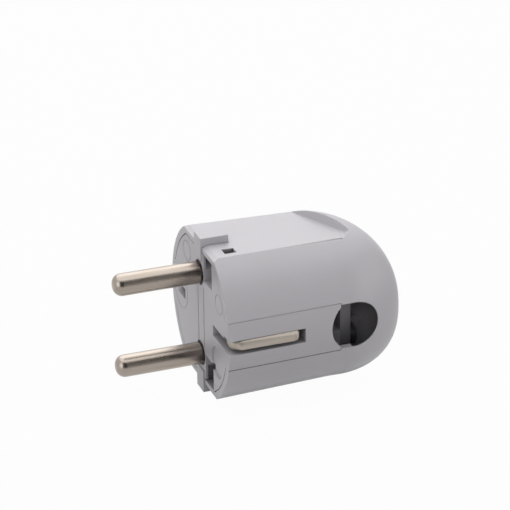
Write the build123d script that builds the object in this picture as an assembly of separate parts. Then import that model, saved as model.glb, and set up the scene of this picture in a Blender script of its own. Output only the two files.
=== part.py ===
from build123d import *
import math
import os

os.makedirs("parts", exist_ok=True)

# Frame: x runs from the engagement face to the rear, y to the far side, z up.
# The origin is on the face, midway between the pins; the cable leaves towards -y.

# Outer form of the body
FRONT_RADIUS = 18.73
DRAFT = 0.028
LENGTH = 40.5
APEX_OFFSET = 11.9
NEAR_START = 28.35
FAR_START = 25.5
CROWN_START = 25.6
PLAN_POWER = 1.5
CROWN_POWER = 2.55
BARREL_END = 25.4
OUTER_SHARES = (0.08, 0.17, 0.27, 0.40, 0.54, 0.68, 0.80, 0.89, 0.95, 0.985, 0.997)
INNER_SHARES = (0.12, 0.30, 0.50, 0.68, 0.83, 0.93, 0.985)
WALL = 1.6
FIT_GAP = 0.04
FACE_GAP = 0.2

# Flats above and below, each ended by an oblique shoulder and a gentle rise beside it
FLAT_HEIGHT = 16.4
FLAT_SLOPE = 0.745
SHOULDER_X = 28.0
SHOULDER_TURN = 27.2
SHOULDER_RAKE = 22.0
SHOULDER_END_X = 32.8
SHOULDER_END_TURN = -22.5
SHOULDER_END_RAKE = 62.0
FLAT_BEVEL_LENGTH = 1.1
FLAT_BEVEL_DROP = 0.5
EDGE_GROOVE_RADIUS = 0.3
EDGE_GROOVE_DEPTH = 0.12

# Key blocks and their notches
KEY_HALF = 2.1
KEY_FRONT = -0.3
KEY_REAR = 5.85
KEY_HEIGHT = FRONT_RADIUS - DRAFT * CROWN_START
REST_SLOPE = 1.06

# Tongues, earth channels and slots
TONGUE_HALF = 5.42
TONGUE_NEAR_END = 25.2
TONGUE_FAR_END = 20.0
CHANNEL_HALF = 1.6
CHANNEL_END = 17.0
CHANNEL_FLOOR = 16.1
SLOT_NEAR = (8.3, 15.6)
SLOT_FAR = (9.8, 15.4)
SLOT_LIP = 0.6
SLOT_TOP = 1.0

# Cable opening
HOLE_X = 28.45
HOLE_RADIUS = 5.12
HOLE_FLARE = 30.0
HOLE_EDGE_Y = -17.0
HOLE_FRONT_X = 28.9
HOLE_FRONT_RADIUS = 5.9

# Pins
PIN_SPACING = 19.0
PIN_RADIUS = 2.4
PIN_LENGTH = 19.0
PIN_TIP = 1.9
NECK_START = -0.4
NECK_RADIUS = 2.0
HEAD_SIZE = 6.4
HEAD_START = 11.0
HEAD_END = 22.0

# Base body behind the face
DISC = 3.0
BLOCK_END = 15.9
BLOCK_Y = 12.4
BLOCK_Z = 13.3

# Earth contacts
STRIP_THICKNESS = 1.0
STRIP_HALF = 1.45
STRIP_RADIUS = 19.05
STRIP_ARCH = 2.0
STRIP_LIFT = 0.13

# Cord clamp
CLAMP_X = (28.5, 30.9)
CLAMP_Y = (-8.5, -3.5)
CLAMP_Z = 10.0
CLAMP_SCREW_Z = 7.7
CLAMP_SCREW_Y = -6.0


def span(x0, x1, y0, y1, z0, z1):
    return Pos((x0 + x1) / 2, (y0 + y1) / 2, (z0 + z1) / 2) * Box(x1 - x0, y1 - y0, z1 - z0)


def rod_x(radius, x0, x1, y, z):
    return Pos((x0 + x1) / 2, y, z) * Rot(0, 90, 0) * Cylinder(radius, x1 - x0)


def rod_y(radius, y0, y1, x, z):
    return Pos(x, (y0 + y1) / 2, z) * Rot(90, 0, 0) * Cylinder(radius, y1 - y0)


def rod_z(radius, z0, z1, x, y):
    return Pos(x, y, (z0 + z1) / 2) * Cylinder(radius, z1 - z0)


def both(shape):
    return shape + mirror(shape, about=Plane.XY)


def save(shape, name):
    shape.label = name
    export_step(shape, "parts/" + name + ".step")


# Body form: oval sections along x, drawn in towards a blunt end that leans to the cable side

def falling(x, start, end, power):
    u = min(max((x - start) / (end - start), 0.0), 1.0)
    return (1.0 - u ** power) ** (1.0 / power)


def oval(x, inset):
    radius = FRONT_RADIUS - DRAFT * x - inset
    end = LENGTH - inset
    near = APEX_OFFSET + (radius - APEX_OFFSET) * falling(x, NEAR_START, end, PLAN_POWER)
    far = APEX_OFFSET - (radius + APEX_OFFSET) * falling(x, FAR_START, end, PLAN_POWER)
    crown = radius * falling(x, CROWN_START, end, CROWN_POWER)
    middle = Plane(origin=(x, -(near + far) / 2, 0), x_dir=(0, 1, 0), z_dir=(1, 0, 0))
    return middle * Ellipse((near - far) / 2, crown)


def barrel(inset, start, end):
    front = FRONT_RADIUS - DRAFT * start - inset
    rear = FRONT_RADIUS - DRAFT * end - inset
    return Pos((start + end) / 2, 0, 0) * Rot(0, 90, 0) * Cone(front, rear, end - start)


def crown(inset, shares):
    end = LENGTH - inset
    steps = [BARREL_END]
    steps += [BARREL_END + (end - BARREL_END) * share for share in shares]
    return loft([oval(x, inset) for x in steps])


def shoulder_block(x, height, turn, rake):
    lean = 8.0 * math.tan(math.radians(rake))
    outline = Polyline((-80, 0), (0, 0), (lean, 8), (-80, 8), close=True)
    tool = extrude(Plane.XZ * make_face(outline), 40, both=True)
    return Pos(x, 0, height) * Rot(0, FLAT_SLOPE, 0) * Rot(0, 0, turn) * tool


def flat_cut(inset):
    height = FLAT_HEIGHT - math.tan(math.radians(FLAT_SLOPE)) * SHOULDER_X - inset
    drop = math.tan(math.radians(FLAT_SLOPE)) * (SHOULDER_END_X - SHOULDER_X)
    oblique = shoulder_block(SHOULDER_X + inset, height, SHOULDER_TURN, SHOULDER_RAKE)
    ending = shoulder_block(SHOULDER_END_X + inset, height - drop, SHOULDER_END_TURN, SHOULDER_END_RAKE)
    return oblique & ending


def body(inset, start, shares):
    return barrel(inset, start, BARREL_END) + crown(inset, shares) - both(flat_cut(inset))


def front_body(inset):
    return barrel(inset, 0.0, TONGUE_NEAR_END) - both(flat_cut(inset))


# Cover: cup with a U-shaped slot on each side, key notches, snap windows and the cable hole

def snap_y(inset):
    return (-7.4 - inset, -3.5 + inset)


def edge_point(x, side, depth):
    radius = FRONT_RADIUS - DRAFT * x
    height = FLAT_HEIGHT - math.tan(math.radians(FLAT_SLOPE)) * x
    angle = math.acos(height / radius) + EDGE_GROOVE_RADIUS / radius
    reach = radius + EDGE_GROOVE_RADIUS - depth
    return Vector(x, side * reach * math.sin(angle), reach * math.cos(angle))


def edge_groove(side, end_x):
    start = edge_point(10.0, side, 0.0)
    end = edge_point(end_x, side, EDGE_GROOVE_DEPTH)
    profile = Plane(origin=start, z_dir=end - start) * Circle(EDGE_GROOVE_RADIUS)
    return both(extrude(profile, (end - start).length))


def make_cover():
    cover = body(0.0, 0.0, OUTER_SHARES) - body(WALL, -0.5, INNER_SHARES)
    lip = Polyline((0, FLAT_HEIGHT - FLAT_BEVEL_DROP), (0, 18), (FLAT_BEVEL_LENGTH, 18),
                   (FLAT_BEVEL_LENGTH, FLAT_HEIGHT), close=True)
    cover -= both(extrude(Plane.XZ * make_face(lip), 11.5, both=True))
    cover -= both(span(-1, KEY_REAR + 0.1, -KEY_HALF - 0.1, KEY_HALF + 0.1, 13, 20))
    slot = TONGUE_HALF + FIT_GAP
    cover -= span(-1, TONGUE_NEAR_END + 0.1, -20, -13, -slot, slot)
    cover -= span(-1, TONGUE_FAR_END + 0.1, 13, 20, -slot, slot)
    cover -= span(24, HOLE_X, -20, -11, -HOLE_RADIUS, HOLE_RADIUS)
    cover -= rod_y(HOLE_RADIUS, -20, -11, HOLE_X, 0)
    inner = HOLE_RADIUS + 4.0 * math.tan(math.radians(HOLE_FLARE))
    flare = Pos(HOLE_X, HOLE_EDGE_Y + 2.0, 0) * Rot(90, 0, 0) * Cone(inner, HOLE_RADIUS, 4.0)
    cover -= flare - span(0, HOLE_X - 0.5, -30, 0, -20, 20)
    cover -= both(span(3.2, 5.75, -7.5, -5.25, 13, 18))
    cover -= edge_groove(-1, 29.0)
    cover -= edge_groove(1, 23.4)
    groove = span(12.4, 14.9, snap_y(0.2)[0], snap_y(0.2)[1], 12, 15.35)
    cover -= both(groove)
    rib = span(BARREL_END + 0.1, 38, -1.0, 1.0, 6.8, 12.2) & crown(WALL / 2, INNER_SHARES)
    cover += both(rib + span(HEAD_END + 0.1, BARREL_END + 0.2, -1.0, 1.0, 6.8, 12.2))
    rest = Pos(KEY_REAR, 0, -KEY_HEIGHT) * Rot(0, -REST_SLOPE, 0) * span(15, 35, -12, 12, -4, 0)
    return cover - rest


# Base: face disc and block in one moulding with the tongues, posts for the clamp and snap noses

def tongue(side, end):
    blank = front_body(0.0) & span(0, end, min(14.2 * side, 20 * side), max(14.2 * side, 20 * side),
                              -TONGUE_HALF, TONGUE_HALF)
    seams = [e for e in blank.edges() if e.length > 15 and abs(e.center().Y) > 16.5]
    blank = chamfer(seams, 0.15)
    web = span(0, BLOCK_END, min(11 * side, 15 * side), max(11 * side, 15 * side), -4.2, 4.2)
    return blank + web


def channel(side, slot):
    low, high = sorted((side * CHANNEL_FLOOR, side * 20))
    cut = span(-0.5, CHANNEL_END, low, high, -CHANNEL_HALF, CHANNEL_HALF)
    top = STRIP_HALF + STRIP_LIFT + 0.1
    low, high = sorted((side * slot[0], side * slot[1]))
    cut += span(SLOT_LIP, 10.5, low, high, -STRIP_HALF - 0.1, top)
    cut += span(-0.5, SLOT_LIP + 0.1, low, high, -STRIP_HALF - 0.1, SLOT_TOP)
    low, high = sorted((side * (slot[1] - 0.5), side * (CHANNEL_FLOOR + 0.1)))
    cut += span(-0.5, 4.5, low, high, -STRIP_HALF - 0.1, top)
    low, high = sorted((side * 11, side * 17))
    cut += span(15.2, CHANNEL_END, low, high, -CHANNEL_HALF, CHANNEL_HALF)
    return cut


def ring_mark(y, z, radius):
    return rod_x(radius + 0.12, -0.5, 0.1, y, z) - rod_x(radius - 0.12, -0.6, 0.2, y, z)


def make_base():
    fitted = front_body(WALL + FACE_GAP)
    base = fitted & span(0, DISC, -30, 30, -30, 30)
    block = fitted & span(DISC, BLOCK_END, -BLOCK_Y, BLOCK_Y, -BLOCK_Z, BLOCK_Z)
    base += block
    base += tongue(-1, TONGUE_NEAR_END)
    base += tongue(1, TONGUE_FAR_END)
    base += both(span(KEY_FRONT, KEY_REAR, -KEY_HALF, KEY_HALF, 13, KEY_HEIGHT))
    nose = span(12.6, 14.6, snap_y(0)[0], snap_y(0)[1], 12, 15.2)
    base += both(nose)
    post = span(BLOCK_END - 1, CLAMP_X[0], CLAMP_Y[0], CLAMP_Y[1],
                CLAMP_SCREW_Z - 2.3, CLAMP_SCREW_Z + 2.3)
    base += both(post)
    base -= rod_y(HOLE_FRONT_RADIUS, -20, -13, HOLE_FRONT_X, 0)
    base -= channel(-1, SLOT_NEAR) + channel(1, SLOT_FAR)
    base -= both(span(-0.5, 12.0, -8.15, -2.9, 8.6, 14.0))
    base -= both(span(-0.5, 6.2, -8.15, -2.9, 13.9, 18))
    boss = rod_x(PIN_RADIUS + 0.9, 0, 6, 0, PIN_SPACING / 2)
    base -= both(span(0.6, 5.0, -3.0, -0.7, 10.8, 15.0) - boss)
    for y in (-2.55, 1.1):
        base -= span(-0.5, 0.3, y - 0.2, y + 0.2, -7.0, 7.0)
    for y, z, radius in ((-12.4, 7.4, 2.1), (8.0, 11.0, 2.3), (12.6, 0.0, 4.3)):
        base -= ring_mark(y, z, radius)
    base -= rod_x(3.5, -0.5, 0.5, -10.4, -7.0)
    half = HEAD_SIZE / 2 + 0.1
    for side in (1, -1):
        height = side * PIN_SPACING / 2
        base -= rod_x(NECK_RADIUS + 0.06, -1, BLOCK_END + 1, 0, height)
        base -= rod_x(PIN_RADIUS + 0.35, -1, 0.8, 0, height)
        base -= span(HEAD_START, BLOCK_END + 1, -half, half, height - half, height + half)
        base -= Pos(0, 0, side * 12) * span(HEAD_START - 0.5, BLOCK_END + 1, -1.5, 1.5, -3, 3)
        base -= rod_x(1.55, 18, CLAMP_X[0] + 1, CLAMP_SCREW_Y, side * CLAMP_SCREW_Z)
        base -= span(20.9, 23.3, CLAMP_Y[0] - 0.5, CLAMP_Y[1] - 0.2, side * CLAMP_SCREW_Z - 1.8,
                     side * CLAMP_SCREW_Z + 1.8)
    base -= rod_x(1.55, 7, BLOCK_END + 1, 0, 0)
    for side in (1, -1):
        base -= rod_x(1.9, BLOCK_END - 1.0, BLOCK_END + 1, side * 10.4, 0)
    return base


# Pins: turned shank with a rounded tip and a square head drilled for the wire and its screw

def make_pin(side):
    height = side * PIN_SPACING / 2
    shank = rod_x(PIN_RADIUS, -PIN_LENGTH, NECK_START, 0, height)
    tip = shank.edges().sort_by(Axis.X)[0]
    pin = fillet(tip, PIN_TIP) + rod_x(NECK_RADIUS, NECK_START - 0.5, HEAD_START + 1, 0, height)
    half = HEAD_SIZE / 2
    head = span(HEAD_START, HEAD_END, -half, half, height - half, height + half)
    head = chamfer(head.faces().sort_by(Axis.X)[-1].edges(), 0.5)
    pin += head
    pin -= rod_x(1.6, 14, HEAD_END + 1, 0, height)
    pin -= rod_z(1.25, min(height, height + side * 6), max(height, height + side * 6), 19, 0)
    return pin


# Screws: cheese head with a driving slot, shank to the major diameter of the thread

def screw(shank, length, head, depth, slot=0.7):
    body_part = Pos(0, 0, -length / 2) * Cylinder(shank, length)
    body_part = chamfer(body_part.edges().sort_by(Axis.Z)[0], shank * 0.35)
    top = Pos(0, 0, depth / 2) * Cylinder(head, depth)
    top = chamfer(top.edges().sort_by(Axis.Z)[-1], depth * 0.2)
    top -= Pos(0, 0, depth) * Box(head * 3, slot, depth * 0.9)
    return body_part + top


# Earth contact: strip bent out of the body, along its channel and back in through the face slot

def make_contact(side, slot_inner):
    centre = STRIP_RADIUS - STRIP_THICKNESS / 2
    path = FilletPolyline(
        (16.4, 8.6), (16.4, centre), (3.0, centre), (0.9, centre - 0.9), (0.9, 15.6),
        (3.4, slot_inner + 5.2), (9.3, slot_inner + 3.8), radius=0.75)
    ribbon = trace(path, STRIP_THICKNESS)
    strip = extrude(ribbon, STRIP_HALF, both=True)
    inside = STRIP_RADIUS - STRIP_ARCH
    strip &= rod_x(STRIP_ARCH, -1, 20, inside, 0) + span(-1, 20, 0, inside, -STRIP_HALF, STRIP_HALF)
    if side < 0:
        strip = mirror(strip, about=Plane.XZ)
    strip = Pos(0, 0, STRIP_LIFT) * strip
    return strip - rod_x(0.8, 15, 18, side * 10.4, 0)


def make_bridge():
    bar = span(16.9, 18.1, -12.0, 12.0, -2.4, 2.4)
    bar = fillet(bar.edges().filter_by(Axis.X), 1.0)
    bar -= rod_x(1.75, 16, 19, 0, 0)
    for side in (1, -1):
        bar -= rod_x(0.8, 16, 19, side * 10.4, 0)
    return bar


def make_rivets():
    rivets = []
    for side in (1, -1):
        y = side * 10.4
        rivet = rod_x(0.8, 15.3, 18.6, y, 0) + rod_x(1.5, 18.1, 18.7, y, 0) + rod_x(1.5, 15.3, 15.9, y, 0)
        rivets.append(rivet)
    return Compound(children=rivets)


def make_saddle():
    plate = span(18.1, 19.1, -3.2, 3.2, -3.0, 3.0)
    plate = fillet(plate.edges().filter_by(Axis.X), 0.8)
    plate += span(17.9, 18.3, -3.2, 3.2, 2.5, 3.0) + span(17.9, 18.3, -3.2, 3.2, -3.0, -2.5)
    return plate - rod_x(1.75, 17, 20, 0, 0)


# Cord clamp: moulded bar with a gripping step, pulled down by two screws into square nuts

def make_clamp():
    x0, x1 = CLAMP_X
    y0, y1 = CLAMP_Y
    bar = span(x0, x1, y0, y1, -CLAMP_Z, CLAMP_Z)
    bar = fillet(bar.edges().filter_by(Axis.X), 1.2)
    bar += span(x0 - 0.8, x0 + 0.2, y0 + 3.2, y1, -3.5, 3.5)
    for side in (1, -1):
        bar -= rod_x(1.7, x0 - 2, x1 + 1, CLAMP_SCREW_Y, side * CLAMP_SCREW_Z)
    return bar


def make_nut(side):
    z = side * CLAMP_SCREW_Z
    nut = span(21.0, 23.2, CLAMP_SCREW_Y - 2.4, CLAMP_SCREW_Y + 2.2, z - 1.7, z + 1.7)
    return nut - rod_x(1.5, 20, 24, CLAMP_SCREW_Y, z)


save(make_cover(), "cover")
save(make_base(), "base")
for side, place in ((1, "upper"), (-1, "lower")):
    save(make_pin(side), "pin_" + place)
    reach = side * (PIN_SPACING / 2 + HEAD_SIZE / 2)
    turn = 0 if side > 0 else 180
    save(Pos(19, 0, reach) * Rot(turn, 0, 0) * screw(1.25, 2.6, 2.2, 1.5), "terminal_screw_" + place)
    fixing = Pos(CLAMP_X[1], CLAMP_SCREW_Y, side * CLAMP_SCREW_Z) * Rot(0, 90, 0)
    save(fixing * screw(1.5, 10.0, 2.4, 1.6), "clamp_screw_" + place)
    save(make_nut(side), "clamp_nut_" + place)
save(make_contact(-1, SLOT_NEAR[0]), "earth_contact_near")
save(make_contact(1, SLOT_FAR[0]), "earth_contact_far")
save(make_bridge(), "earth_bridge")
save(make_rivets(), "bridge_rivets")
save(make_saddle(), "earth_saddle")
save(Pos(19.1, 0, 0) * Rot(0, 90, 0) * screw(1.55, 11.0, 2.7, 1.8), "earth_screw")
save(make_clamp(), "cord_clamp")
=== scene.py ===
import math

import bmesh
import bpy
from mathutils import Matrix, Vector


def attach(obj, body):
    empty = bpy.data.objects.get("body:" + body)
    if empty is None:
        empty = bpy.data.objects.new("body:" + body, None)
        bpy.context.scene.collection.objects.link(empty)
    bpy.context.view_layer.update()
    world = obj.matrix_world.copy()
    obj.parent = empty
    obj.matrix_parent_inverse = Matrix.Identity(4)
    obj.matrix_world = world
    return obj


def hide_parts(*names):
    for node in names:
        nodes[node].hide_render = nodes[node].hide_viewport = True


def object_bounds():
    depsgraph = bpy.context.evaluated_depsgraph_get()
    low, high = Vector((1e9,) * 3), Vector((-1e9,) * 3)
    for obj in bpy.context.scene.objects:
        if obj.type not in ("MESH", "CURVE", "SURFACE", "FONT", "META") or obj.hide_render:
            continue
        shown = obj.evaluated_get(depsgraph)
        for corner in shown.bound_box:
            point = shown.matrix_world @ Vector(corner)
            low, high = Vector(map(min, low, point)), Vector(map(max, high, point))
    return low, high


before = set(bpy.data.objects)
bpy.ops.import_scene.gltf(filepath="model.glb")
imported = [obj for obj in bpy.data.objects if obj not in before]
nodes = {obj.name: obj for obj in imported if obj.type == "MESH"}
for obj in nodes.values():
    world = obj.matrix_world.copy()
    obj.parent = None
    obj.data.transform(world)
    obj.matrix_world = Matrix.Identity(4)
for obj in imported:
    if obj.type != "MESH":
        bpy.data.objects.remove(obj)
cad_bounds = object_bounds()


# Base: the moulding that carries the pins and the earth strips, with a tongue down each side.
# Pale grey ABS, injection moulded in one piece. The rest of the plug is built onto it.

# A Mix node repeats its sockets' names for each kind of data, so those for colour go by number.
mix_share, mix_low, mix_high, mix_colour = 0, 6, 7, 2


def linear(code):
    """Linear colour, with full opacity, from an sRGB hex code."""
    levels = [int(code[at:at + 2], 16) / 255 for at in (0, 2, 4)]
    return [level / 12.92 if level <= 0.04045 else ((level + 0.055) / 1.055) ** 2.4
            for level in levels] + [1.0]


def add(tree, kind, settings=None, **links):
    """Adds a node. Settings and links go by property and socket names, with _ for a space."""
    node = tree.nodes.new(kind)
    for name, value in (settings or {}).items():
        if hasattr(node, name):
            setattr(node, name, value)
        else:
            node.inputs[name.replace("_", " ")].default_value = value
    for name, source in links.items():
        tree.links.new(source, node.inputs[name.replace("_", " ")])
    return node


def new_material(name):
    material = bpy.data.materials.new(name)
    material.use_nodes = True
    return material, material.node_tree, material.node_tree.nodes["Principled BSDF"]


def painted_gap_shade(tree, colour, gap_shade_colour, reach):
    """Paints shade into a colour: mixes it with a darker one in gaps and pockets, by how closed in
    they are.
    """
    closed, clear = 0.15, 0.6
    gap = add(tree, "ShaderNodeAmbientOcclusion", {"samples": 8, "Distance": reach})
    unshaded = add(tree, "ShaderNodeMapRange", {"From_Min": closed, "From_Max": clear},
                Value=gap.outputs["AO"])
    tone = add(tree, "ShaderNodeMix", {"data_type": "RGBA"})
    tree.links.new(unshaded.outputs["Result"], tone.inputs[mix_share])
    tone.inputs[mix_low].default_value = linear(gap_shade_colour)
    tree.links.new(colour, tone.inputs[mix_high])
    return tone.outputs[mix_colour]


def moulded_plastic(name, pale, deep, roughness, gap_shade_colour):
    """Moulded plastic: one even tone, edges that catch a thin line of light, shade painted into its
    gaps and pockets, and soft shadows, because some light passes into the walls."""
    flow_size = 0.011           # slow drift of the tone, from the flow of the melt
    grain_size = 0.0004         # the tool's grain is about 0.05 mm: drawn coarser, so that it shows
    grain_depth = 0.00002
    grain_strength = 0.02
    edge_radius = 0.00018       # edges of a moulding, which are never quite sharp
    gap_reach = 0.009           # about as far as the face's pockets go in
    plastic_ior = 1.54
    lit_inside = 0.2
    light_depth = 0.0012        # light goes about 1 mm into the wall

    material, tree, shader = new_material(name)
    place = add(tree, "ShaderNodeTexCoord")
    flow = add(tree, "ShaderNodeTexNoise", {"Scale": 1 / flow_size, "Detail": 3.0},
               Vector=place.outputs["Object"])
    tone = add(tree, "ShaderNodeMix", {"data_type": "RGBA"})
    tree.links.new(flow.outputs["Fac"], tone.inputs[mix_share])
    tone.inputs[mix_low].default_value = linear(deep)
    tone.inputs[mix_high].default_value = linear(pale)
    # Painted shade: the tone turns darker in gaps and pockets, where less light reaches.
    colour = painted_gap_shade(tree, tone.outputs[mix_colour], gap_shade_colour, gap_reach)
    tree.links.new(colour, shader.inputs["Base Color"])

    grain = add(tree, "ShaderNodeTexNoise", {"Scale": 1 / grain_size, "Detail": 2.0},
                Vector=place.outputs["Object"])
    edge = add(tree, "ShaderNodeBevel", {"samples": 6, "Radius": edge_radius})
    bump = add(tree, "ShaderNodeBump", {"Strength": grain_strength, "Distance": grain_depth},
               Height=grain.outputs["Fac"], Normal=edge.outputs["Normal"])
    tree.links.new(bump.outputs["Normal"], shader.inputs["Normal"])

    shader.inputs["Roughness"].default_value = roughness
    shader.inputs["IOR"].default_value = plastic_ior
    shader.inputs["Subsurface Weight"].default_value = lit_inside
    shader.inputs["Subsurface Radius"].default_value = (1.0, 1.0, 1.0)
    shader.inputs["Subsurface Scale"].default_value = light_depth
    return material


def dress(name, material):
    """Gives a CAD node its material."""
    mesh = nodes[name].data
    mesh.materials.clear()
    mesh.materials.append(material)


# ABS from a lightly grained tool: a soft gloss, and only a little painted shade in its channels.
dress("base", moulded_plastic("moulded_abs_base", pale="C9C6CB", deep="C5C2C7", roughness=0.42,
                              gap_shade_colour="A4A2A6"))


# Pins: brass rods turned with round ends and a neck, nickel plated. Their heads hold them in the
# base. They are the plug's brightest parts, and sockets rub them along their length.

def metal(name, bright, worn, roughness, marks=0.0, metal_gap_shade=None):
    """Metal with wear drawn out along x, and with fine marks from turning or rolling across it."""
    wear_long, wear_wide = 0.009, 0.0014
    mark_gap, mark_wide = 0.0001, 0.007     # real marks are about 0.03 mm apart: drawn coarser
    mark_depth = 0.00001
    least_wear, most_wear = 0.3, 0.7        # the noise seldom goes past these
    smoother, rougher = 0.03, 0.04
    gap_reach = 0.003

    material, tree, shader = new_material(name)
    place = add(tree, "ShaderNodeTexCoord")
    along = add(tree, "ShaderNodeMapping", {"Scale": (1 / wear_long, 1 / wear_wide, 1 / wear_wide)},
                Vector=place.outputs["Object"])
    wear = add(tree, "ShaderNodeTexNoise", {"Scale": 1.0, "Detail": 4.0, "Roughness": 0.6},
               Vector=along.outputs["Vector"])
    tone = add(tree, "ShaderNodeMix", {"data_type": "RGBA"})
    tree.links.new(wear.outputs["Fac"], tone.inputs[mix_share])
    tone.inputs[mix_low].default_value = linear(worn)
    tone.inputs[mix_high].default_value = linear(bright)
    colour = tone.outputs[mix_colour]
    # Painted shade: the colour darkens where the metal lies close to other surfaces.
    if metal_gap_shade:
        colour = painted_gap_shade(tree, colour, metal_gap_shade, gap_reach)
    tree.links.new(colour, shader.inputs["Base Color"])
    shader.inputs["Metallic"].default_value = 1.0

    gloss = add(tree, "ShaderNodeMapRange",
                {"From_Min": least_wear, "From_Max": most_wear,
                 "To_Min": roughness - smoother, "To_Max": roughness + rougher},
                Value=wear.outputs["Fac"])
    tree.links.new(gloss.outputs["Result"], shader.inputs["Roughness"])
    across = add(tree, "ShaderNodeMapping", {"Scale": (1 / mark_gap, 1 / mark_wide, 1 / mark_wide)},
                 Vector=place.outputs["Object"])
    lines = add(tree, "ShaderNodeTexNoise", {"Scale": 1.0, "Detail": 2.0},
                Vector=across.outputs["Vector"])
    bump = add(tree, "ShaderNodeBump", {"Strength": marks, "Distance": mark_depth},
               Height=lines.outputs["Fac"])
    tree.links.new(bump.outputs["Normal"], shader.inputs["Normal"])
    return material


# Nickel on turned brass: warm silver, with the reflections pulled out along the rod.
pin_plating = metal("nickel_plated_brass_pins", bright="AFA79F", worn="8D8176", roughness=0.27,
                    marks=0.08)
for name in ("pin_upper", "pin_lower"):
    dress(name, pin_plating)


# Earth strips: half-round brass bars, bent into clips and nickel plated.
# Each lies in its channel with its round back out, turns in at both ends and is riveted to the
# bridge.

# Thin nickel on drawn brass: the same silver, but dull from the springs of the socket, and with
# painted shade where it lies in its channel.
strip_plating = metal("nickel_plated_spring_brass", bright="BEB6AD", worn="968E84", roughness=0.54,
                      marks=0.1, metal_gap_shade="8A8278")

# In mm: half the bar's width, the height of its middle, and how far out its flat side lies.
strip_half_width = 1.2
strip_height = 0.37
strip_seat = 18.1


def rounded(corners):
    """Points x, y, thickness along a bar, from corners x, y, thickness, bend radius, all in mm."""
    steps = 6
    points = [corners[0][:3]]
    for before, corner, after in zip(corners, corners[1:], corners[2:]):
        x, y, thickness, radius = corner
        if radius == 0:
            points.append((x, y, thickness))
            continue
        middle = Vector((x, y))
        back = (Vector(before[:2]) - middle).normalized()
        ahead = (Vector(after[:2]) - middle).normalized()
        half = back.angle(ahead) / 2
        centre = middle + (back + ahead).normalized() * radius / math.sin(half)
        first = middle + back * radius / math.tan(half) - centre
        last = middle + ahead * radius / math.tan(half) - centre
        for step in range(steps + 1):
            # slerp gives a unit vector here, so it is brought back to the radius.
            spoke = first.slerp(last, step / steps) * radius + centre
            points.append((spoke.x, spoke.y, thickness))
    return points + [corners[-1][:3]]


def half_round_bar(name, corners, side):
    """Sweeps a half-round section along the corners, flat side in. side mirrors it in y."""
    facets = 12
    per_metre = 1000    # mm
    sharpest = 0.5      # keeps the outer edge of a sharp corner from shooting out
    crease = math.radians(40)
    points = rounded(corners)
    shape = bmesh.new()
    rings = []
    for index, (x, y, thickness) in enumerate(points):
        here = Vector((x, y))
        before = here - Vector(points[index - 1][:2]) if index else None
        after = Vector(points[index + 1][:2]) - here if index + 1 < len(points) else None
        before = (before or after).normalized()
        after = (after or before).normalized()
        along = (before + after).normalized()
        out = Vector((along.y, -along.x)) / max(along.dot(before), sharpest)
        ring = []
        for facet in range(facets + 1):
            turn = math.radians(-90 + 180 / facets * facet)
            place = here + out * thickness * math.cos(turn)
            z = strip_height + strip_half_width * math.sin(turn)
            ring.append(shape.verts.new((place.x / per_metre, side * place.y / per_metre,
                                         z / per_metre)))
        rings.append(ring)
    for near, far in zip(rings, rings[1:]):
        for this in range(facets + 1):
            following = (this + 1) % (facets + 1)
            shape.faces.new((near[this], near[following], far[following], far[this]))
    shape.faces.new(rings[0])
    shape.faces.new(rings[-1])
    bmesh.ops.recalc_face_normals(shape, faces=shape.faces)
    mesh = bpy.data.meshes.new(name)
    shape.to_mesh(mesh)
    shape.free()
    mesh.polygons.foreach_set("use_smooth", [True] * len(mesh.polygons))
    mesh.set_sharp_from_angle(angle=crease)
    mesh.materials.append(strip_plating)
    item = bpy.data.objects.new(name, mesh)
    bpy.context.scene.collection.objects.link(item)
    return item


for place, side, slot_inner in (("near", -1, 8.3), ("far", 1, 9.8)):
    # x, y, thickness and bend radius in mm, from the rivet out to the channel, along it, in at the
    # face and back to the free end.
    bends = [
        (15.95, 8.6, 0.9, 0),
        (15.95, 15.6, 0.9, 0.3),
        (15.2, 17.2, 0.45, 0),
        (15.35, strip_seat, 0.45, 0.5),
        (14.4, strip_seat, 0.95, 0),
        (2.9, strip_seat, 0.95, 1.2),
        (1.45, 17.2, 0.95, 0.8),
        (1.45, 15.6, 0.95, 0.5),
        (3.9, slot_inner + 5.3, 0.9, 0.6),
        (9.6, slot_inner + 3.9, 0.9, 0),
    ]
    strip = half_round_bar("earth_strip_" + place, bends, side)
    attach(strip, "root")
    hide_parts("earth_contact_" + place)


# Earth bridge and its two rivets: a stamped brass bar that joins the strips, and what holds it.
# They are left bare, as they are inside the plug.

# Bare brass: dull yellow, satin from the rolled sheet.
bare_brass = metal("bare_stamped_brass", bright="C9A562", worn="A8854A", roughness=0.36)
for name in ("earth_bridge", "bridge_rivets"):
    dress(name, bare_brass)


# Screws, saddle and nuts: cold-headed steel with bright zinc plating.
# They clamp the three wires and hold the cord clamp on the base.

# Zinc plate on steel: a cool, slightly cloudy silver.
zinc_steel = metal("zinc_plated_steel", bright="B9BCC0", worn="9EA2A8", roughness=0.32)
for name in ("earth_screw", "earth_saddle", "terminal_screw_upper", "terminal_screw_lower",
             "clamp_screw_upper", "clamp_screw_lower", "clamp_nut_upper", "clamp_nut_lower"):
    dress(name, zinc_steel)


# Cord clamp: a small bar moulded in grey polyamide, held across the cable inlet by two screws.
# It shows as an upright in the cable hole.

# Polyamide: nearly the body's tone, but matt, and with shade painted dark inside the hole.
dress("cord_clamp", moulded_plastic("moulded_grey_polyamide", pale="BEBBC1", deep="B6B3B9",
                                    roughness=0.5, gap_shade_colour="48464A"))


# Cover: the domed cup that slides over the base from behind and snaps on.
# The same pale grey ABS, from a smoother tool.

# ABS from a smooth tool: a little glossier than the base, with shade painted dark in its window and
# inside.
dress("cover", moulded_plastic("moulded_abs_cover", pale="CAC7CC", deep="C6C3C8", roughness=0.4,
                               gap_shade_colour="48464A"))


# Floor: a wide sheet of white paper that the plug rests on.
# It is white to the camera and in the metal, and the small share that is lit keeps the shadow.

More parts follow.
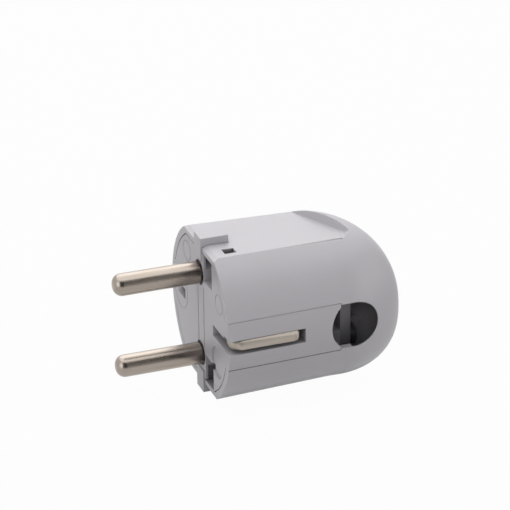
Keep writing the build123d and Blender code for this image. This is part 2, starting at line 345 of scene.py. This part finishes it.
def flat_sheet(name, half_size, height=0.0):
    shape = bmesh.new()
    bmesh.ops.create_grid(shape, x_segments=2, y_segments=2, size=half_size)
    for vertex in shape.verts:
        vertex.co.z = height
    mesh = bpy.data.meshes.new(name)
    shape.to_mesh(mesh)
    shape.free()
    item = bpy.data.objects.new(name, mesh)
    bpy.context.scene.collection.objects.link(item)
    return item


def matt_sheet(name, spot_size, darkest, lightest):
    """A matt grey, uneven by spots of the given size. The levels are linear."""
    material, tree, shader = new_material(name)
    place = add(tree, "ShaderNodeTexCoord")
    spots = add(tree, "ShaderNodeTexNoise", {"Scale": 1 / spot_size},
                Vector=place.outputs["Object"])
    level = add(tree, "ShaderNodeMapRange", {"To_Min": darkest, "To_Max": lightest},
                Value=spots.outputs["Fac"])
    tree.links.new(level.outputs["Result"], shader.inputs["Base Color"])
    shader.inputs["Roughness"].default_value = 0.9
    return material, tree, shader


def seen_straight(tree):
    """1 to the camera, in reflections and through glass, and 0 for the light it sheds on things."""
    ray = add(tree, "ShaderNodeLightPath")
    mirrored = add(tree, "ShaderNodeMath", {"operation": "ADD"})
    tree.links.new(ray.outputs["Is Camera Ray"], mirrored.inputs[0])
    tree.links.new(ray.outputs["Is Glossy Ray"], mirrored.inputs[1])
    seen = add(tree, "ShaderNodeMath", {"operation": "ADD", "use_clamp": True})
    tree.links.new(mirrored.outputs[0], seen.inputs[0])
    tree.links.new(ray.outputs["Is Transmission Ray"], seen.inputs[1])
    return seen.outputs[0]


white_share = 0.97
floor = flat_sheet("studio_floor", half_size=3.0, height=cad_bounds[0].z)

# Paper: its fibres are far finer than 2.5 mm, and are drawn coarser so that they show at all.
paper, tree, shader = matt_sheet("matt_white_paper", spot_size=0.0025, darkest=0.44, lightest=0.48)
glow = add(tree, "ShaderNodeEmission", {"Strength": 1.0})
share = add(tree, "ShaderNodeMath", {"operation": "MULTIPLY"})
tree.links.new(seen_straight(tree), share.inputs[0])
share.inputs[1].default_value = white_share
surface = add(tree, "ShaderNodeMixShader")
tree.links.new(share.outputs[0], surface.inputs[0])
tree.links.new(shader.outputs["BSDF"], surface.inputs[1])
tree.links.new(glow.outputs["Emission"], surface.inputs[2])
tree.links.new(surface.outputs["Shader"], tree.nodes["Material Output"].inputs["Surface"])
floor.data.materials.append(paper)


# Lights: a broad soft one above, and weaker ones beyond the plug, before the pins and behind the
# dome. A small one beside the camera lights the cable hole, and doesn't show in the metal.

def panel(name, place, aim, width, watts):
    light = bpy.data.lights.new(name, "AREA")
    light.shape = "DISK"
    light.size = width
    light.energy = watts
    item = bpy.data.objects.new(name, light)
    bpy.context.scene.collection.objects.link(item)
    item.location = place
    item.rotation_euler = (Vector(aim) - Vector(place)).to_track_quat("-Z", "Y").to_euler()
    return item


panel("top_light", place=(0.05, 0.25, 0.95), aim=(0.01, 0, 0), width=2.0, watts=9.7)
panel("far_side_light", place=(0.1, 0.75, 0.6), aim=(0.01, 0, 0), width=1.0, watts=2.3)
panel("pin_side_light", place=(-0.86, -0.35, 0.33), aim=(0, 0, 0), width=0.7, watts=1.4)
panel("dome_side_light", place=(0.8, -0.55, 0.25), aim=(0.02, 0, 0), width=0.7, watts=1.55)
fill = panel("camera_side_light", place=(-0.29, -0.82, 0.44), aim=(0.02, 0, 0), width=0.3,
             watts=0.84)
fill.visible_glossy = False


# Shade card: a black card behind the camera and above it.
# Only reflections show it: it gives the pins and the strips their dark line.

card = flat_sheet("shade_card", half_size=0.9)
card.location = (-0.3, -1.3, 0.75)
card.rotation_euler = (Vector((0, 0, 0.05)) - card.location).to_track_quat("Z", "Y").to_euler()
card.visible_camera = False
card.visible_diffuse = False
card.visible_transmission = False
card.visible_shadow = False

# Black card: matt, with a faint nap.
black, _, _ = matt_sheet("black_card", spot_size=0.004, darkest=0.04, lightest=0.06)
card.data.materials.append(black)


# Surroundings: a white room, as the camera and the metal see it.
# What it adds to the light on the plug is much weaker than that.

white = (1.0, 1.0, 1.0, 1.0)
room_light = 0.17

world = bpy.data.worlds.new("studio")
bpy.context.scene.world = world
world.use_nodes = True
tree = world.node_tree
dim = tree.nodes["Background"]
dim.inputs["Color"].default_value = white
dim.inputs["Strength"].default_value = room_light
full = add(tree, "ShaderNodeBackground", {"Color": white, "Strength": 1.0})
room = add(tree, "ShaderNodeMixShader")
tree.links.new(seen_straight(tree), room.inputs[0])
tree.links.new(dim.outputs["Background"], room.inputs[1])
tree.links.new(full.outputs["Background"], room.inputs[2])
tree.links.new(room.outputs["Shader"], tree.nodes["World Output"].inputs["Surface"])
bpy.context.scene.view_settings.view_transform = "Standard"


# Camera: on the cable side, before the face and above it, with a long lens.
# Its place, angles and focal length were fitted to the edges of the object.

turn, rise, roll = math.radians(19.62), math.radians(24.96), math.radians(-0.73)
focal_pixels, picture_pixels, sensor_mm = 2499.0, 510.0, 36.0
camera_place = Vector((-0.1483, -0.4511, 0.2342))

ahead = Vector((math.sin(turn) * math.cos(rise), math.cos(turn) * math.cos(rise), -math.sin(rise)))
right = Vector((math.cos(turn), -math.sin(turn), 0.0))
up = right.cross(ahead).normalized()
right, up = (right * math.cos(roll) + up * math.sin(roll),
             up * math.cos(roll) - right * math.sin(roll))
camera_data = bpy.data.cameras.new("photo_camera")
camera_data.sensor_width = sensor_mm
camera_data.lens = sensor_mm * focal_pixels / picture_pixels
camera_data.clip_start = 0.01
camera = bpy.data.objects.new("photo_camera", camera_data)
bpy.context.scene.collection.objects.link(camera)
axes = Matrix((right, up, -ahead)).transposed().to_4x4()
camera.matrix_world = Matrix.Translation(camera_place) @ axes
bpy.context.scene.camera = camera
